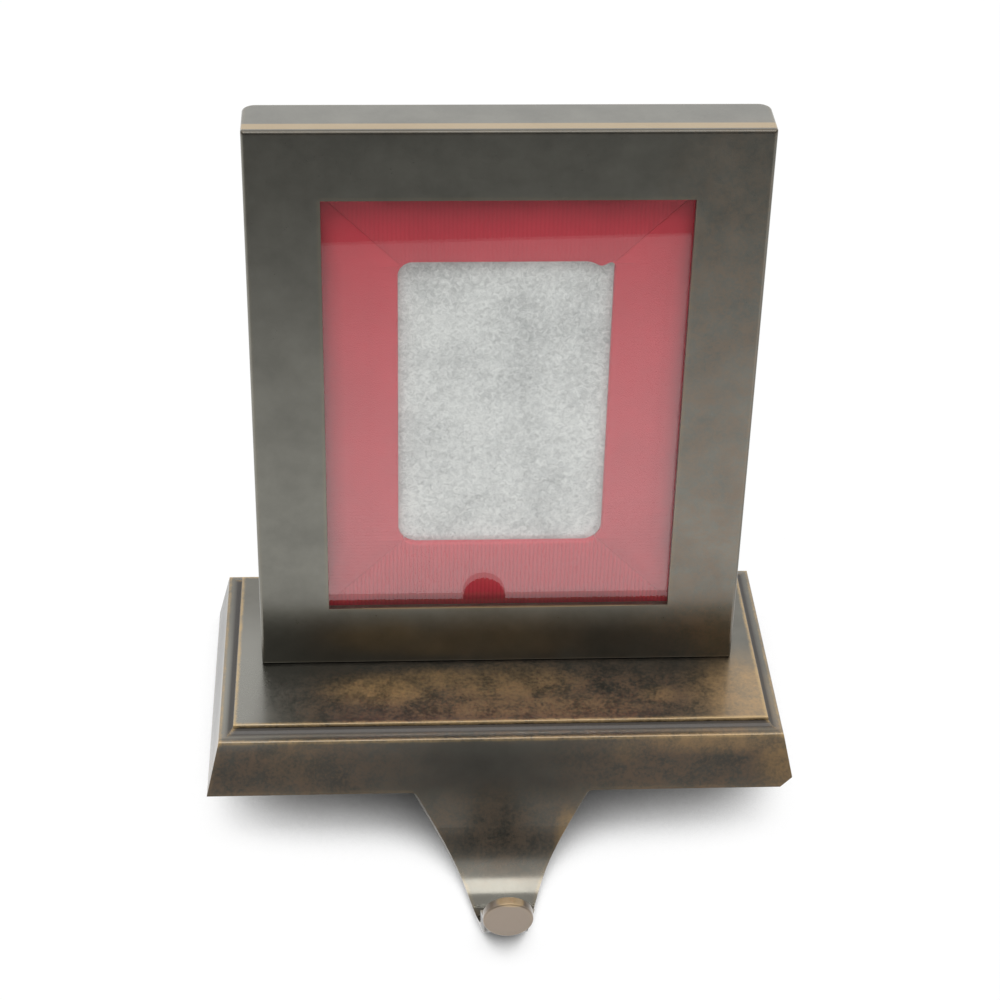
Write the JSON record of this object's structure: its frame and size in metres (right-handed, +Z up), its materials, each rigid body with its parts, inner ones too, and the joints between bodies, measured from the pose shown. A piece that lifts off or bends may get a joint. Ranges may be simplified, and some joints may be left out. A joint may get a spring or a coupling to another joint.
{
  "type": "mantel stocking holder",
  "caption": "Small bronze-finish picture frame on a heavy moulded plinth whose front sweeps down into a knob-ended hook, for hanging a stocking from a mantel shelf.",
  "frame": {"origin": "middle of the felt's underside, where the holder meets the shelf", "axes": "+X to the right seen from the front, +Y to the back, +Z up; the hook points along -Y"},
  "size_m": [0.1248, 0.0939, 0.1632],
  "materials": {
    "bronze_patina": "cast brass with a dark bronze patina, rubbed through on edges and in patches",
    "clear_glass": "clear polished sheet",
    "ribbed_ribbon": "red ribbed ribbon on card, mitred at the corners",
    "white_foam": "white mottled foam sheet",
    "black_hardboard": "black faced hardboard",
    "dark_felt": "pressed felt",
    "stamped_brass": "stamped sheet, dulled",
    "screw_steel": "plated"
  },
  "bodies": {
    "holder": {"plinth_with_hook": "bronze_patina", "felt_pad": "dark_felt", "picture_frame": "bronze_patina", "glass_pane": "clear_glass", "ribbon_mat": "ribbed_ribbon", "foam_sheet": "white_foam", "back_panel": "black_hardboard", "turn_button_screws": "screw_steel", "frame_screws": "screw_steel"},
    "left_lower_button": {"turn_button_left_lower": "stamped_brass"},
    "left_upper_button": {"turn_button_left_upper": "stamped_brass"},
    "right_lower_button": {"turn_button_right_lower": "stamped_brass"},
    "right_upper_button": {"turn_button_right_upper": "stamped_brass"}
  },
  "joints": [
    {"name": "left_lower_turn", "type": "hinge", "parent": "holder", "child": "left_lower_button", "pos_m": [-0.0433, 0.0065, 0.04785], "axis": [0, 1, 0], "continuous": true},
    {"name": "left_upper_turn", "type": "hinge", "parent": "holder", "child": "left_upper_button", "pos_m": [-0.0433, 0.0065, 0.10985], "axis": [0, 1, 0], "continuous": true},
    {"name": "right_lower_turn", "type": "hinge", "parent": "holder", "child": "right_lower_button", "pos_m": [0.0433, 0.0065, 0.04785], "axis": [0, 1, 0], "continuous": true},
    {"name": "right_upper_turn", "type": "hinge", "parent": "holder", "child": "right_upper_button", "pos_m": [0.0433, 0.0065, 0.10985], "axis": [0, 1, 0], "continuous": true}
  ]
}
